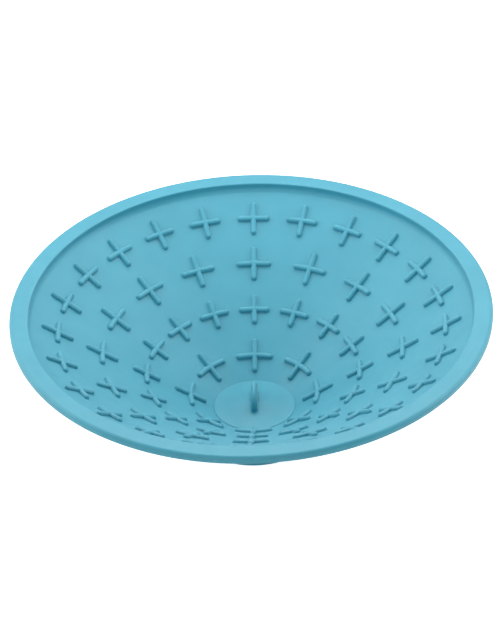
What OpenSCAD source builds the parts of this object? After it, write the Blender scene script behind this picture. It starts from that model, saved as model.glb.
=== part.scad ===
// Lick mat: a soft cone-shaped mat with a raised rim and rings of crosses inside,
// carried by a suction foot whose plug fills the hole in the mat's floor.
// Millimetres, +Z up. The origin is the centre of the sealing lip, on the table.

/* [Mat] */
// Outside diameter of the rim
rim_d = 190; // [175:1:225]
// Height of the rim's top above the table
mat_h = 57.7; // [54:0.1:70]
// Height of the edge of the middle disc above the table
floor_h = 10.3; // [9.6:0.1:13]
// Thickness of the cone wall, square to it
wall_t = 2.5; // [2.2:0.1:3.2]
// Thickness of the floor round the foot's neck
floor_t = 2; // [1.6:0.1:2.2]
// Depth from the edge of the middle disc down to the floor round the neck
seat_depth = 2; // [1.4:0.1:2.4]

/* [Rim] */
// Width of the rim's flat top, seen from above
rim_w = 7.5; // [5:0.1:12]
// Height of the step from the cone wall up to the rim's top
step_h = 3.15; // [2.8:0.05:5]
// Thickness of the rim at its outer edge
rim_t = 3.4; // [2.6:0.1:4.2]
// Rounding of the rim's outer top edge
rim_round = 1.5; // [0.5:0.1:1.8]
// Rounding of the rim's outer lower edge
rim_low_round = 0.7; // [0.2:0.1:0.8]
// Rounding of the step's top edge
step_round = 0.5; // [0.2:0.1:1.2]
// Hollow rounding at the foot of the step
step_fillet = 2.4; // [0.5:0.1:2.6]

/* [Crosses] */
// Length of the longest radial arm, tip to tip
cross_l = 14.5; // [10:0.1:15.5]
// Width of a rib
rib_w = 2.3; // [1.6:0.1:2.8]
// Height of a rib above the wall
rib_h = 1.5; // [1.2:0.05:2]

/* [Suction foot] */
// Diameter of the middle disc
disc_d = 32.4; // [29:0.1:34]
// Rise of the middle disc from its edge to its centre
disc_rise = 2.2; // [1:0.1:3]
// Thickness of the middle disc's edge
disc_edge_t = 0.2; // [0.1:0.05:0.5]
// Diameter of the neck
neck_d = 12; // [8:0.1:16]
// Gap between the foot and the mat
fit_gap = 0.2; // [0.1:0.02:0.3]
// Diameter of the sealing lip
lip_d = 52; // [46:0.1:60]
// Thickness of the sealing lip
lip_t = 1; // [0.8:0.05:1.3]
// Thickness of the sealing lip's outer edge
lip_edge_t = 0.5; // [0.3:0.05:0.7]
// Width of the sealing lip
lip_w = 3.6; // [3:0.1:5]
// Thickness of the cup's roof
roof_t = 1.6; // [1.2:0.05:1.9]
// Distance from the foot of the cone wall in to the cup's shoulder
shoulder_setback = 1; // [0.4:0.1:3]
// Thickness of the skirt where it meets the lip
skirt_t = 1.5; // [1.1:0.05:1.8]
// Rounding of the shoulder between roof and skirt
shoulder_round = 1.4; // [0.6:0.1:1.5]

/* [Fin] */
// Radius of the half-round fin
fin_r = 7.3; // [5:0.1:9]
// Thickness of the fin at its foot
fin_t = 3.4; // [2.6:0.1:4.5]
// Thickness of the fin at its top
fin_top_t = 2.2; // [1.6:0.1:2.5]

/* [Hidden] */
$fn = 96;
mat_color = [0.36, 0.69, 0.77];
arc_steps = 8;
disc_steps = 12;

// Rings from the outside in: crosses in each, place up the wall and arm lengths
ring_counts = [24, 16, 16, 8];
ring_place_shares = [0.847, 0.608, 0.369, 0.13];
radial_arm_shares = [0.98, 1, 0.86, 0.99];
ring_arm_shares = [0.91, 0.98, 0.87, 1.04];
// Width of the slimmer arm or end, as a share of the wider one
slim_share = 0.93;

rim_r = rim_d / 2;
step_r = rim_r - rim_w;
disc_r = disc_d / 2;
neck_r = neck_d / 2;
hole_r = neck_r + fit_gap;
wall_slope = (mat_h - step_h - floor_h) / (step_r - disc_r);
wall_a = atan(wall_slope);
wall_drop = wall_t / cos(wall_a);
seat_z = floor_h - seat_depth;
under_z = seat_z - floor_t;
roof_z = under_z - fit_gap;
ceiling_z = roof_z - roof_t;
wall_foot_r = wall_r(under_z + wall_drop);
roof_r = wall_foot_r - shoulder_setback;
lip_r = lip_d / 2;
lip_in_r = lip_r - lip_w;
skirt_r = lip_in_r + skirt_t + (lip_w - skirt_t) / 2;
disc_edge_z = floor_h + fit_gap + disc_edge_t;
rib_axis = rib_h - rib_w / 2;

// Height of the cone wall's inner surface at radius r, and the radius at height z
function wall_z(r) = floor_h + wall_slope * (r - disc_r);
function wall_r(z) = disc_r + (z - floor_h) / wall_slope;
// Height of the middle disc's top at radius r
function disc_z(r) = disc_edge_z + disc_rise * (1 + cos(180 * r / disc_r)) / 2;
// Points along an arc round a centre
function arc(centre, r, from, to) =
    [for (i = [0:arc_steps]) let (a = from + (to - from) * i / arc_steps)
        centre + r * [cos(a), sin(a)]];

// Cone wall, from the seat of the foot's disc up to the step
module mat_wall() {
    fillet_r = step_r - step_fillet;
    fillet_z = wall_z(fillet_r) + step_fillet / cos(wall_a);
    color(mat_color)
    rotate_extrude()
    polygon(concat(
        [[wall_r(seat_z), under_z],
         [wall_foot_r, under_z],
         [step_r, wall_z(step_r) - wall_drop]],
        arc([fillet_r, fillet_z], step_fillet, 0, wall_a - 90),
        [[wall_r(seat_z), seat_z]]));
}

// Raised rim, with the wall of the step that carries it
module mat_rim() {
    back_r = step_r + wall_t;
    rim_under = mat_h - rim_t;
    color(mat_color)
    rotate_extrude()
    polygon(concat(
        [[step_r, wall_z(step_r) - wall_drop],
         [back_r, wall_z(back_r) - wall_drop],
         [back_r, rim_under]],
        arc([rim_r - rim_low_round, rim_under + rim_low_round], rim_low_round, -90, 0),
        arc([rim_r - rim_round, mat_h - rim_round], rim_round, 0, 90),
        arc([step_r + step_round, mat_h - step_round], step_round, 90, 180)));
}

// Flat floor round the foot's neck
module mat_floor() {
    color(mat_color)
    rotate_extrude()
    translate([hole_r, under_z])
    square([wall_r(seat_z) - hole_r, floor_t]);
}

// One cross on the wall at radius r. The arm along the slope is a little slimmer than the
// arm along the ring, and each rounded end is a little slimmer than its arm.
module cross_rib(r, radial_l, ring_l) {
    axis_r = r - rib_axis * sin(wall_a);
    axis_z = wall_z(r) + rib_axis * cos(wall_a);
    slim_w = rib_w * slim_share;
    radial_run = radial_l - slim_w;
    ring_angle = (ring_l - rib_w) / axis_r * 180 / PI;
    translate([axis_r, 0, axis_z])
    rotate([0, 90 - wall_a, 0]) {
        cylinder(d = slim_w, h = radial_run, center = true);
        for (side = [-1, 1])
            translate([0, 0, side * radial_run / 2])
            sphere(d = slim_w * slim_share);
    }
    rotate([0, 0, -ring_angle / 2])
    rotate_extrude(angle = ring_angle)
    translate([axis_r, axis_z])
    circle(d = rib_w);
    for (side = [-1, 1])
        rotate([0, 0, side * ring_angle / 2])
        translate([axis_r, 0, axis_z])
        sphere(d = rib_w * slim_share);
}

// A ring of crosses, with one cross on the +Y axis
module cross_ring(ring) {
    r = disc_r + ring_place_shares[ring] * (step_r - disc_r);
    count = ring_counts[ring];
    color(mat_color)
    for (i = [0:count - 1])
        rotate([0, 0, 90 + i * 360 / count])
        difference() {
            cross_rib(r, radial_arm_shares[ring] * cross_l, ring_arm_shares[ring] * cross_l);
            rotate([0, 0, 180])
            mat_wall();
        }
}

module crosses_outer() {
    cross_ring(0);
}

module crosses_second() {
    cross_ring(1);
}

module crosses_third() {
    cross_ring(2);
}

module crosses_inner() {
    cross_ring(3);
}

// Disc in the middle of the mat, seated on the cone wall, with the neck through the floor
module foot_disc() {
    color(mat_color)
    rotate_extrude()
    polygon(concat(
        [[0, roof_z],
         [neck_r, roof_z],
         [neck_r, seat_z + fit_gap],
         [wall_r(seat_z), seat_z + fit_gap],
         [disc_r, floor_h + fit_gap]],
        [for (i = [disc_steps:-1:0]) let (r = disc_r * i / disc_steps) [r, disc_z(r)]]));
}

// Half-round fin that stands on the disc, thinner towards its top
module foot_fin() {
    base_z = disc_z(fin_r + fin_t / 2);
    top_z = disc_z(0) + fin_r;
    color(mat_color)
    difference() {
        intersection() {
            translate([0, 0, disc_z(0)])
            rotate([0, 90, 0])
            cylinder(r = fin_r, h = fin_t, center = true);
            rotate([90, 0, 0])
            linear_extrude(height = 2 * fin_r, center = true)
            polygon([[-fin_t / 2, base_z], [fin_t / 2, base_z],
                     [fin_top_t / 2, top_z], [-fin_top_t / 2, top_z]]);
        }
        foot_disc();
    }
}

// Flat roof of the suction cup
module cup_roof() {
    color(mat_color)
    translate([0, 0, ceiling_z])
    cylinder(r = roof_r, h = roof_t);
}

// Flared skirt of the suction cup, from the roof down to the sealing lip
module cup_skirt() {
    flare_a = atan((roof_z - lip_t) / (skirt_r - roof_r));
    centre = [roof_r + shoulder_round * tan(flare_a / 2), roof_z - shoulder_round];
    color(mat_color)
    rotate_extrude()
    polygon(concat(
        [[roof_r, ceiling_z],
         [lip_in_r, lip_t],
         [skirt_r, lip_t]],
        arc(centre, shoulder_round, 90 - flare_a, 90),
        [[roof_r, roof_z]]));
}

// Sealing lip that lies flat on the surface
module sealing_lip() {
    color(mat_color)
    rotate_extrude()
    polygon([[lip_in_r, 0], [lip_r, 0], [lip_r, lip_edge_t], [skirt_r, lip_t], [lip_in_r, lip_t]]);
}

mat_wall();
mat_rim();
mat_floor();
crosses_outer();
crosses_second();
crosses_third();
crosses_inner();
foot_disc();
foot_fin();
cup_roof();
cup_skirt();
sealing_lip();
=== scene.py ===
import math

import bmesh
import bpy
from mathutils import Matrix, Vector


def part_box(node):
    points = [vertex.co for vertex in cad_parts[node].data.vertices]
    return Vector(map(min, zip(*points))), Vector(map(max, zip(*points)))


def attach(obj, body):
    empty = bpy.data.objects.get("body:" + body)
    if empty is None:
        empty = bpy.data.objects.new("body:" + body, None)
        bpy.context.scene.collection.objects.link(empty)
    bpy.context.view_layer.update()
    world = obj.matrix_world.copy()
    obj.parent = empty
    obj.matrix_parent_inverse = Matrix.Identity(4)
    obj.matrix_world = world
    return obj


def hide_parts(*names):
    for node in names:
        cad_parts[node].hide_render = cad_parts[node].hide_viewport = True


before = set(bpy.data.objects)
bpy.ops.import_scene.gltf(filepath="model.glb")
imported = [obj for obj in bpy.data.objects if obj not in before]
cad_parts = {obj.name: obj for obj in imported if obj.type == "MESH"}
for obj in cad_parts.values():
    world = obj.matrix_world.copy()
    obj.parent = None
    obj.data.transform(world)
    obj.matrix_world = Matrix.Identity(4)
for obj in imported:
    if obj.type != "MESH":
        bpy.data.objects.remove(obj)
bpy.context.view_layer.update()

MM = 0.001
UP = Vector((0, 0, 1))
FULL_TURN = 2 * math.pi
QUARTER_TURN = math.pi / 2

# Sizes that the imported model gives
RIM_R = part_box("mat_rim")[1].x
RIM_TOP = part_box("mat_rim")[1].z
STEP_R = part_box("mat_wall")[1].x
UNDER_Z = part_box("mat_wall")[0].z
SEAT_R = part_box("mat_floor")[1].x
SEAT_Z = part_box("mat_floor")[1].z
DISC_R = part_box("foot_disc")[1].x
DISC_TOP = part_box("foot_disc")[1].z
FIN_HALF_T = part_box("foot_fin")[1].x
FIN_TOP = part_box("foot_fin")[1].z
ROOF_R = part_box("cup_roof")[1].x
ROOF_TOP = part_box("cup_roof")[1].z
CEILING_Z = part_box("cup_roof")[0].z
SKIRT_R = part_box("cup_skirt")[1].x
LIP_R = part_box("sealing_lip")[1].x
LIP_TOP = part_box("sealing_lip")[1].z

# Sizes of the mat that its nodes' boxes don't give
WALL_T = 2.5 * MM
STEP_H = 3.15 * MM
STEP_FILLET = 2.4 * MM
STEP_ROUND = 0.5 * MM
RIM_T = 3.4 * MM
RIM_ROUND = 1.6 * MM
RIM_LOW_ROUND = 0.9 * MM
FLOOR_HOLE_ROUND = 0.35 * MM
RIM_BACK_FILLET = 0.8 * MM
BACK_ROUND = 0.6 * MM
FOOT_ROUND = 0.5 * MM
HOLE_R = 6.2 * MM

# Crosses, from the outer ring to the inner one
RING_NAMES = ("outer", "second", "third", "inner")
RING_COUNTS = (24, 16, 16, 8)
RING_PLACE_SHARES = (0.847, 0.608, 0.369, 0.13)
CROSS_L = 14.5 * MM
RADIAL_ARM_SHARES = (0.98, 1, 0.86, 0.99)
RING_ARM_SHARES = (0.91, 0.98, 0.87, 1.04)
RIB_W = 2.3 * MM
RIB_H = 1.5 * MM
RIB_ROUND = 1.1 * MM
RIB_FILLET = 0.2 * MM
RIB_SINK = 0.25 * MM

# Suction foot
SEAT_GAP = 0.03 * MM
DISC_EDGE_T = 0.17 * MM
DISC_EDGE_ROUND = 0.1 * MM
DISC_RISE = 2.4 * MM
NECK_R = 6 * MM
FIN_FOOT_SHARE = 0.88
FIN_TOP_SHARE = 0.6
FIN_ROUND = 1.4 * MM
FIN_FILLET = 0.9 * MM
FIN_FILLET_SHARE = 0.9
FIN_SINK = 0.3 * MM
LIP_EDGE_T = 0.5 * MM
LIP_W = 3.6 * MM
LIP_ROUND = 0.2 * MM
SHOULDER_ROUND = 1.4 * MM

# The photograph's camera, in the frame of the mat
IMAGE_H = 642
SENSOR_W = 36
FOCAL_PIXELS = 4260.4
CAMERA_DISTANCE = 1674.6 * MM
CAMERA_ELEVATION = math.radians(35.992)
CAMERA_AZIMUTH = math.radians(1.906)
CAMERA_ROLL = math.radians(-2.223)
CAMERA_AIM = Vector((-0.117, 0, 51.849)) * MM

# The studio
FLOOR_REACH = 6
FLOOR_WHITE = 0.9
FLOOR_LIFT = 0.65
STUDIO_AIR = 0.01
SOFTBOX_ANGLE = math.radians(50)
# Name, degrees round from +X, degrees up and strength
SOFTBOXES = (
    ("front_softbox", 270, 25, 1.09),
    ("back_left_softbox", 135, 25, 0.73),
    ("front_left_softbox", 225, 25, 0.58),
    ("back_right_softbox", 45, 25, 0.57),
    ("front_right_softbox", 315, 25, 0.09))
# Name, place, size and watts
PANELS = (
    ("right_panel", (0.6, 0, 0.25), 0.4, 1.65),
    ("left_panel", (-0.6, 0, 0.25), 0.4, 1.47),
    ("back_panel", (0, 0.7, 0.5), 0.7, 1.5),
    ("top_panel", (0, 0.12, 0.45), 0.35, 1.12),
    ("top_left_panel", (-0.35, 0.1, 0.35), 0.3, 0.74),
    ("top_right_panel", (0.35, 0.1, 0.35), 0.3, 0.56),
    ("top_back_panel", (0, 0.2, 0.4), 0.3, 0.46),
    ("back_right_panel", (0.2, 0.25, 0.42), 0.3, 0.22))

# The silicone's tints, linear, its roughness, and the size and detail of its grain
MAT_DEEP = (0.025, 0.236, 0.323, 1)
MAT_PALE = (0.03, 0.254, 0.345, 1)
MAT_SATIN = (0.46, 0.56)
FOOT_DEEP = (0.025, 0.236, 0.321, 1)
FOOT_PALE = (0.03, 0.254, 0.343, 1)
FOOT_SATIN = (0.48, 0.58)
BLOOM = 0.14
BLOOM_SPREAD = 0.5
GRAIN_SIZE = 0.5 * MM
GRAIN_DEPTH = 0.02 * MM
CLOUD_SIZE = 16 * MM
RUB_SIZE = 5 * MM
NOISE_LOW = 0.3
NOISE_HIGH = 0.7
GRAIN_DETAIL = 3
CLOUD_DETAIL = 2
RUB_DETAIL = 4

# Places of the colour sockets on a Mix node
MIX_FIRST = 6
MIX_SECOND = 7
MIX_RESULT = 2

# Fineness of the meshes
TURN_STEPS = 288
SMALL_TURN_STEPS = 144
ROUND_SEGMENTS = 8
DOME_STEPS = 24
ARM_STEPS = 5
ARM_TIP_STEPS = 8
FIN_TURN_STEPS = 48
WELD = 0.0005 * MM
SHARP_ANGLE = math.radians(38)

CONE_SLOPE = (RIM_TOP - STEP_H - SEAT_Z) / (STEP_R - SEAT_R)
CONE_ANGLE = math.atan(CONE_SLOPE)
WALL_DROP = WALL_T / math.cos(CONE_ANGLE)


def wall_z(r):
    """Height of the cone's upper surface at radius r."""
    return SEAT_Z + CONE_SLOPE * (r - SEAT_R)


def wall_r(z):
    """Radius of the cone's upper surface at height z."""
    return SEAT_R + (z - SEAT_Z) / CONE_SLOPE


def disc_z(r):
    """Height of the middle disc's top at radius r."""
    share = min(r / DISC_R, 1)
    return DISC_TOP - DISC_RISE * (1 - math.cos(math.pi * share)) / 2


def round_corner(bm, corner, radius, segments=ROUND_SEGMENTS):
    """Rounds one corner of a wire outline to a radius."""
    ends = [edge.other_vert(corner).co - corner.co for edge in corner.link_edges]
    half_angle = ends[0].angle(ends[1]) / 2
    bmesh.ops.bevel(bm, geom=[corner], offset=radius / math.tan(half_angle), offset_type="OFFSET",
                    segments=segments, profile=0.5, affect="VERTICES", clamp_overlap=True, material=-1)


def outline(bm, points, closed=True):
    """A wire in the XZ plane through points of (x, z, corner radius)."""
    corners = [bm.verts.new((x, 0, z)) for x, z, _ in points]
    for start, end in zip(corners, corners[1:]):
        bm.edges.new((start, end))
    if closed:
        bm.edges.new((corners[-1], corners[0]))
    for corner, (_, _, radius) in zip(corners, points):
        if radius:
            round_corner(bm, corner, radius)


def turned(points, closed=True, steps=TURN_STEPS):
    """A round shape: an outline of (radius, height, corner radius), spun round the Z axis."""
    bm = bmesh.new()
    outline(bm, points, closed)
    bmesh.ops.spin(bm, geom=bm.verts[:] + bm.edges[:], cent=(0, 0, 0), axis=UP, angle=FULL_TURN,
                   steps=steps, use_merge=True)
    bmesh.ops.remove_doubles(bm, verts=bm.verts[:], dist=WELD)
    return bm


def grow_edges(bm, edges):
    """Extrudes a run of edges in place and gives the new run, in step with the old one."""
    grown = bmesh.ops.extrude_edge_only(bm, edges=edges)["geom"]
    return [item for item in grown if isinstance(item, bmesh.types.BMEdge)]


def run_verts(edges):
    """The vertices of a run of edges."""
    return list({vert: None for edge in edges for vert in edge.verts})


def finish_piece(bm, name, material, body, *nodes):
    """Makes the mesh an object that stands for its nodes, rides on its body and has its finish."""
    bmesh.ops.recalc_face_normals(bm, faces=bm.faces[:])
    for face in bm.faces:
        face.smooth = True
    for edge in bm.edges:
        edge.smooth = edge.is_manifold and edge.calc_face_angle() < SHARP_ANGLE
    mesh = bpy.data.meshes.new(name)
    bm.to_mesh(mesh)
    bm.free()
    mesh.materials.append(material)
    piece = bpy.data.objects.new(name, mesh)
    bpy.context.scene.collection.objects.link(piece)
    even = piece.modifiers.new("even_shading", "WEIGHTED_NORMAL")
    even.keep_sharp = True
    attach(piece, body)
    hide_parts(*nodes)
    return piece


def make_cone_wall(material):
    """The dished wall, from the seat of the disc up to the foot of the step."""
    fillet_rise = STEP_FILLET * math.tan((QUARTER_TURN - CONE_ANGLE) / 2)
    bm = turned([
        (SEAT_R, UNDER_Z, 0),
        (wall_r(UNDER_Z + WALL_DROP), UNDER_Z, FOOT_ROUND),
        (STEP_R, wall_z(STEP_R) - WALL_DROP, 0),
        (STEP_R, wall_z(STEP_R) + fillet_rise, 0),
        (STEP_R, wall_z(STEP_R), STEP_FILLET),
        (SEAT_R, SEAT_Z, 0)])
    return finish_piece(bm, "cone_wall", material, "mat", "mat_wall")


def make_raised_rim(material):
    """The flat raised rim, with the wall of the step that carries it."""
    back_r = STEP_R + WALL_T
    bm = turned([
        (STEP_R, wall_z(STEP_R) - WALL_DROP, 0),
        (back_r, wall_z(back_r) - WALL_DROP, BACK_ROUND),
        (back_r, RIM_TOP - RIM_T, RIM_BACK_FILLET),
        (RIM_R, RIM_TOP - RIM_T, RIM_LOW_ROUND),
        (RIM_R, RIM_TOP, RIM_ROUND),
        (STEP_R, RIM_TOP, STEP_ROUND)])
    return finish_piece(bm, "raised_rim", material, "mat", "mat_rim")


def make_floor_plate(material):
    """The flat floor round the foot's neck."""
    bm = turned([
        (HOLE_R, UNDER_Z, FLOOR_HOLE_ROUND),
        (SEAT_R, UNDER_Z, 0),
        (SEAT_R, SEAT_Z, 0),
        (HOLE_R, SEAT_Z, FLOOR_HOLE_ROUND)], steps=SMALL_TURN_STEPS)
    return finish_piece(bm, "floor_plate", material, "mat", "mat_floor")


def half_arm(length):
    """Half of one rounded arm along +X, from the diagonal through the crossing to its tip."""
    bm = bmesh.new()
    half = RIB_W / 2
    outer = half + RIB_FILLET
    profile = [(0, RIB_H, 0), (half, RIB_H, RIB_ROUND), (half, 0, RIB_FILLET), (outer, 0, 0),
               (outer, -RIB_SINK, 0), (0, -RIB_SINK, 0)]
    outline(bm, profile, closed=False)
    bmesh.ops.rotate(bm, verts=bm.verts[:], cent=(0, 0, 0), matrix=Matrix.Rotation(QUARTER_TURN, 3, "Z"))
    run = length / 2 - half
    front = bm.edges[:]
    for _ in range(ARM_STEPS):
        front = grow_edges(bm, front)
        bmesh.ops.translate(bm, verts=run_verts(front), vec=(run / ARM_STEPS, 0, 0))
    bmesh.ops.spin(bm, geom=front + run_verts(front), cent=(run, 0, 0), axis=-UP, angle=QUARTER_TURN,
                   steps=ARM_TIP_STEPS)
    bmesh.ops.bisect_plane(bm, geom=bm.verts[:] + bm.edges[:] + bm.faces[:], dist=WELD,
                           plane_co=(0, 0, 0), plane_no=(-1, 1, 0), clear_outer=True)
    bmesh.ops.remove_doubles(bm, verts=bm.verts[:], dist=WELD)
    return bm


def add_turned_copy(bm, arm_mesh, matrix):
    """Adds a copy of a mesh to bm, moved by a matrix."""
    start = len(bm.verts)
    bm.from_mesh(arm_mesh)
    bm.verts.ensure_lookup_table()
    bmesh.ops.transform(bm, matrix=matrix, verts=bm.verts[start:])


def flat_cross(radial_l, ring_l):
    """One cross laid flat, its radial arm along Y: eight half arms that meet on the diagonals."""
    bm = bmesh.new()
    flip = Matrix.Diagonal((1, -1, 1, 1))
    for length, angle in ((ring_l, 0), (radial_l, QUARTER_TURN)):
        arm = half_arm(length)
        arm_mesh = bpy.data.meshes.new("half_arm")
        arm.to_mesh(arm_mesh)
        arm.free()
        for side in (0, math.pi):
            turn = Matrix.Rotation(angle + side, 4, "Z")
            add_turned_copy(bm, arm_mesh, turn)
            add_turned_copy(bm, arm_mesh, turn @ flip)
        bpy.data.meshes.remove(arm_mesh)
    bmesh.ops.remove_doubles(bm, verts=bm.verts[:], dist=WELD)
    return bm


def lay_on_cone(bm, r):
    """Wraps a flat cross on the cone at radius r: the ring arm follows its ring."""
    for vert in bm.verts:
        across, along, height = vert.co
        place_r = r + along * math.cos(CONE_ANGLE)
        turn_r = place_r if abs(along) > abs(across) else r
        angle = across / turn_r
        reach = place_r - height * math.sin(CONE_ANGLE)
        vert.co = (reach * math.sin(angle), reach * math.cos(angle),
                   wall_z(place_r) + height * math.cos(CONE_ANGLE))


def make_cross_ring(ring, material):
    """A ring of crosses, with one of them on the +Y axis."""
    bm = flat_cross(RADIAL_ARM_SHARES[ring] * CROSS_L, RING_ARM_SHARES[ring] * CROSS_L)
    lay_on_cone(bm, DISC_R + RING_PLACE_SHARES[ring] * (STEP_R - DISC_R))
    count = RING_COUNTS[ring]
    bmesh.ops.spin(bm, geom=bm.verts[:] + bm.edges[:] + bm.faces[:], cent=(0, 0, 0), axis=UP,
                   angle=FULL_TURN * (count - 1) / count, steps=count - 1, use_duplicate=True)
    name = RING_NAMES[ring]
    return finish_piece(bm, "cross_ring_" + name, material, "mat", "crosses_" + name)


def make_middle_disc(material):
    """The domed disc that plugs the mat's hole, with the neck below it."""
    edge_low = wall_z(DISC_R) + SEAT_GAP
    dome = [(DISC_R * i / DOME_STEPS, disc_z(DISC_R * i / DOME_STEPS), 0) for i in range(DOME_STEPS)]
    bm = turned(dome + [
        (DISC_R, edge_low + DISC_EDGE_T, DISC_EDGE_ROUND),
        (DISC_R, edge_low, 0),
        (SEAT_R, SEAT_Z + SEAT_GAP, 0),
        (NECK_R, SEAT_Z + SEAT_GAP, 0),
        (NECK_R, ROOF_TOP, 0),
        (0, ROOF_TOP, 0)], closed=False)
    return finish_piece(bm, "middle_disc", material, "foot", "foot_disc")


def make_grip_fin(material):
    """The half-round fin on the disc, thinner at its top and filleted at its foot."""
    bm = bmesh.new()
    tall = FIN_TOP - DISC_TOP
    outline(bm, [(-FIN_HALF_T, 0, 0), (-FIN_HALF_T, tall, FIN_ROUND), (FIN_HALF_T, tall, FIN_ROUND),
                 (FIN_HALF_T, 0, 0)], closed=False)
    bmesh.ops.rotate(bm, verts=bm.verts[:], cent=(0, 0, 0), matrix=Matrix.Rotation(QUARTER_TURN, 3, "X"))
    bmesh.ops.spin(bm, geom=bm.verts[:] + bm.edges[:], cent=(0, 0, 0), axis=(-1, 0, 0), angle=math.pi,
                   steps=FIN_TURN_STEPS)
    bmesh.ops.remove_doubles(bm, verts=bm.verts[:], dist=WELD)
    bmesh.ops.translate(bm, verts=bm.verts[:], vec=(0, 0, DISC_TOP))
    for vert in bm.verts:
        rise = (vert.co.z - DISC_TOP) / tall
        vert.co.x *= FIN_FOOT_SHARE + (FIN_TOP_SHARE - FIN_FOOT_SHARE) * rise
    bmesh.ops.bisect_plane(bm, geom=bm.verts[:] + bm.edges[:] + bm.faces[:], dist=WELD,
                           plane_co=(0, 0, DISC_TOP + FIN_FILLET), plane_no=(0, 0, -1), clear_outer=True)
    corner = grow_edges(bm, [edge for edge in bm.edges if edge.is_boundary])
    for vert in run_verts(corner):
        vert.co.z = disc_z(vert.co.xy.length)
    bmesh.ops.recalc_face_normals(bm, faces=bm.faces[:])
    bm.normal_update()
    outward = [vert.normal.xy.normalized() * FIN_FILLET for vert in run_verts(corner)]
    spread = grow_edges(bm, corner)
    for vert, move in zip(run_verts(spread), outward):
        vert.co.xy += move
        vert.co.z = disc_z(vert.co.xy.length)
    base = grow_edges(bm, spread)
    bmesh.ops.translate(bm, verts=run_verts(base), vec=(0, 0, -FIN_SINK))
    bmesh.ops.holes_fill(bm, edges=base)
    bmesh.ops.bevel(bm, geom=corner, offset=FIN_FILLET * FIN_FILLET_SHARE, offset_type="OFFSET",
                    segments=ROUND_SEGMENTS, profile=0.5, affect="EDGES", clamp_overlap=True, material=-1)
    return finish_piece(bm, "grip_fin", material, "foot", "foot_fin")


def make_cup_roof_pad(material):
    """The flat roof of the suction cup."""
    bm = turned([(0, ROOF_TOP, 0), (ROOF_R, ROOF_TOP, 0), (ROOF_R, CEILING_Z, 0), (0, CEILING_Z, 0)],
                closed=False, steps=SMALL_TURN_STEPS)
    return finish_piece(bm, "cup_roof_pad", material, "foot", "cup_roof")


def make_cup_flared_skirt(material):
    """The skirt that flares from the cup's roof down to its lip."""
    flare = math.atan((ROOF_TOP - LIP_TOP) / (SKIRT_R - ROOF_R))
    shoulder_r = ROOF_R + 2 * SHOULDER_ROUND * math.tan(flare / 2)
    bm = turned([
        (ROOF_R, CEILING_Z, 0),
        (LIP_R - LIP_W, LIP_TOP, 0),
        (SKIRT_R, LIP_TOP, 0),
        (shoulder_r, ROOF_TOP, SHOULDER_ROUND),
        (ROOF_R, ROOF_TOP, 0)], steps=SMALL_TURN_STEPS)
    return finish_piece(bm, "cup_flared_skirt", material, "foot", "cup_skirt")


def make_cup_sealing_lip(material):
    """The thin lip that lies flat on the surface."""
    bm = turned([
        (LIP_R - LIP_W, 0, LIP_ROUND),
        (LIP_R, 0, LIP_ROUND),
        (LIP_R, LIP_EDGE_T, LIP_ROUND),
        (SKIRT_R, LIP_TOP, 0),
        (LIP_R - LIP_W, LIP_TOP, 0)], steps=SMALL_TURN_STEPS)
    return finish_piece(bm, "cup_sealing_lip", material, "foot", "sealing_lip")


def new_group(name, inputs, outputs):
    """An empty shader node group with sockets of the given names and kinds."""
    group = bpy.data.node_groups.new(name, "ShaderNodeTree")
    for side, sockets in (("INPUT", inputs), ("OUTPUT", outputs)):
        for label, kind in sockets:
            group.interface.new_socket(label, in_out=side, socket_type=kind)
    return group


def add_noise(nodes, links, where, size, detail):
    """A noise pattern on a position, whose lumps are about the given size."""
    noise = nodes.new("ShaderNodeTexNoise")
    noise.inputs["Scale"].default_value = 1 / size
    noise.inputs["Detail"].default_value = detail
    links.new(where, noise.inputs["Vector"])
    return noise.outputs["Fac"]


def add_range(nodes, links, value, low, high):
    """Maps the usual spread of a noise pattern to a range."""
    spread = nodes.new("ShaderNodeMapRange")
    spread.inputs["From Min"].default_value = NOISE_LOW
    spread.inputs["From Max"].default_value = NOISE_HIGH
    for label, end in (("To Min", low), ("To Max", high)):
        if isinstance(end, float):
            spread.inputs[label].default_value = end
        else:
            links.new(end, spread.inputs[label])
    links.new(value, spread.inputs["Value"])
    return spread.outputs["Result"]


def make_moulded_skin():
    """A group for moulded silicone: fine tool grain, faint flow clouds and a satin that varies."""
    group = new_group(
        "moulded_skin",
        [("Position", "NodeSocketVector"), ("Satin Low", "NodeSocketFloat"),
         ("Satin High", "NodeSocketFloat")],
        [("Grain", "NodeSocketFloat"), ("Cloud", "NodeSocketFloat"), ("Satin", "NodeSocketFloat")])
    nodes, links = group.nodes, group.links
    start = nodes.new("NodeGroupInput")
    finish = nodes.new("NodeGroupOutput")
    position = start.outputs["Position"]
    grain = add_noise(nodes, links, position, GRAIN_SIZE, GRAIN_DETAIL)
    cloud = add_noise(nodes, links, position, CLOUD_SIZE, CLOUD_DETAIL)
    rub = add_noise(nodes, links, position, RUB_SIZE, RUB_DETAIL)
    links.new(grain, finish.inputs["Grain"])
    links.new(add_range(nodes, links, cloud, 0.0, 1.0), finish.inputs["Cloud"])
    links.new(add_range(nodes, links, rub, start.outputs["Satin Low"], start.outputs["Satin High"]),
              finish.inputs["Satin"])
    return group


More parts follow.
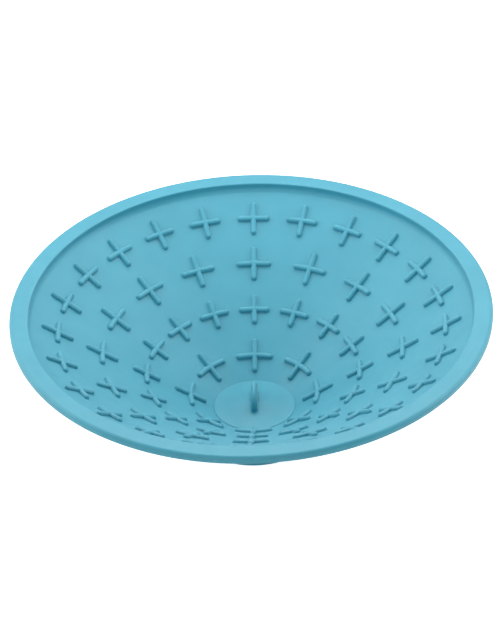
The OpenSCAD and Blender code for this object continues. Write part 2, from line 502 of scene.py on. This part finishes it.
def silicone(name, skin, deep, pale, satin):
    """Satin turquoise silicone, between a deep and a pale tint."""
    material = bpy.data.materials.new(name)
    material.use_nodes = True
    nodes, links = material.node_tree.nodes, material.node_tree.links
    shader = nodes["Principled BSDF"]
    place = nodes.new("ShaderNodeTexCoord")
    surface = nodes.new("ShaderNodeGroup")
    surface.node_tree = skin
    surface.inputs["Satin Low"].default_value, surface.inputs["Satin High"].default_value = satin
    links.new(place.outputs["Object"], surface.inputs["Position"])
    tint = nodes.new("ShaderNodeMix")
    tint.data_type = "RGBA"
    tint.inputs[MIX_FIRST].default_value = deep
    tint.inputs[MIX_SECOND].default_value = pale
    links.new(surface.outputs["Cloud"], tint.inputs["Factor"])
    links.new(tint.outputs[MIX_RESULT], shader.inputs["Base Color"])
    links.new(surface.outputs["Satin"], shader.inputs["Roughness"])
    shader.inputs["Sheen Weight"].default_value = BLOOM
    shader.inputs["Sheen Roughness"].default_value = BLOOM_SPREAD
    bump = nodes.new("ShaderNodeBump")
    bump.inputs["Strength"].default_value = 1
    bump.inputs["Distance"].default_value = GRAIN_DEPTH
    links.new(surface.outputs["Grain"], bump.inputs["Height"])
    links.new(bump.outputs["Normal"], shader.inputs["Normal"])
    return material


def plain_white(name):
    """Matt white for the studio floor, a little brighter to the eye, so that its shadow is faint."""
    material = bpy.data.materials.new(name)
    material.use_nodes = True
    nodes, links = material.node_tree.nodes, material.node_tree.links
    shader = nodes["Principled BSDF"]
    shader.inputs["Base Color"].default_value = (FLOOR_WHITE, FLOOR_WHITE, FLOOR_WHITE, 1)
    shader.inputs["Roughness"].default_value = 1
    shader.inputs["Specular IOR Level"].default_value = 0
    shader.inputs["Emission Color"].default_value = (1, 1, 1, 1)
    seen = nodes.new("ShaderNodeLightPath")
    lift = nodes.new("ShaderNodeMath")
    lift.operation = "MULTIPLY"
    lift.inputs[1].default_value = FLOOR_LIFT
    links.new(seen.outputs["Is Camera Ray"], lift.inputs[0])
    links.new(lift.outputs["Value"], shader.inputs["Emission Strength"])
    return material


def make_studio_floor():
    """The pale floor that the mat stands on."""
    bm = bmesh.new()
    bmesh.ops.create_grid(bm, x_segments=1, y_segments=1, size=FLOOR_REACH)
    mesh = bpy.data.meshes.new("studio_floor")
    bm.to_mesh(mesh)
    bm.free()
    mesh.materials.append(plain_white("studio_white"))
    floor = bpy.data.objects.new("studio_floor", mesh)
    bpy.context.scene.collection.objects.link(floor)


def make_camera():
    """The photograph's view: a long lens from the front, above and slightly rolled."""
    data = bpy.data.cameras.new("photo_camera")
    data.sensor_width = SENSOR_W
    data.lens = FOCAL_PIXELS * SENSOR_W / IMAGE_H
    camera = bpy.data.objects.new("photo_camera", data)
    camera.matrix_world = (
        Matrix.Rotation(CAMERA_AZIMUTH, 4, "Z")
        @ Matrix.Translation(CAMERA_AIM)
        @ Matrix.Rotation(QUARTER_TURN - CAMERA_ELEVATION, 4, "X")
        @ Matrix.Rotation(CAMERA_ROLL, 4, "Z")
        @ Matrix.Translation((0, 0, CAMERA_DISTANCE)))
    bpy.context.scene.collection.objects.link(camera)
    bpy.context.scene.camera = camera


def add_light(data, name, place):
    """Places a light so that it faces the mat's middle."""
    light = bpy.data.objects.new(name, data)
    light.location = place
    light.rotation_euler = (-Vector(place)).to_track_quat("-Z", "Y").to_euler()
    light.visible_camera = False
    bpy.context.scene.collection.objects.link(light)


def make_far_softbox(name, azimuth, elevation, strength):
    """A wide, far softbox in a direction: degrees round from +X, and up."""
    data = bpy.data.lights.new(name, "SUN")
    data.angle = SOFTBOX_ANGLE
    data.energy = strength
    around, up = math.radians(azimuth), math.radians(elevation)
    add_light(data, name, (math.cos(up) * math.cos(around), math.cos(up) * math.sin(around),
                           math.sin(up)))


def make_near_panel(name, place, size, watts):
    """A square light panel near the mat, facing it."""
    data = bpy.data.lights.new(name, "AREA")
    data.shape = "SQUARE"
    data.size = size
    data.energy = watts
    add_light(data, name, place)


def make_studio_air(strength):
    """Even white light from all round."""
    world = bpy.data.worlds.new("studio_air")
    world.use_nodes = True
    background = world.node_tree.nodes["Background"]
    background.inputs["Color"].default_value = (1, 1, 1, 1)
    background.inputs["Strength"].default_value = strength
    bpy.context.scene.world = world


moulded_skin = make_moulded_skin()
mat_silicone = silicone("mat_silicone", moulded_skin, MAT_DEEP, MAT_PALE, MAT_SATIN)
foot_silicone = silicone("foot_silicone", moulded_skin, FOOT_DEEP, FOOT_PALE, FOOT_SATIN)
make_cone_wall(mat_silicone)
make_raised_rim(mat_silicone)
make_floor_plate(mat_silicone)
for ring_number in range(len(RING_NAMES)):
    make_cross_ring(ring_number, mat_silicone)
make_middle_disc(foot_silicone)
make_grip_fin(foot_silicone)
make_cup_roof_pad(foot_silicone)
make_cup_flared_skirt(foot_silicone)
make_cup_sealing_lip(foot_silicone)

make_studio_floor()
make_camera()
for softbox_name, softbox_azimuth, softbox_elevation, softbox_strength in SOFTBOXES:
    make_far_softbox(softbox_name, softbox_azimuth, softbox_elevation, softbox_strength)
for panel_name, panel_place, panel_size, panel_watts in PANELS:
    make_near_panel(panel_name, panel_place, panel_size, panel_watts)
make_studio_air(STUDIO_AIR)
bpy.context.scene.view_settings.view_transform = "Standard"
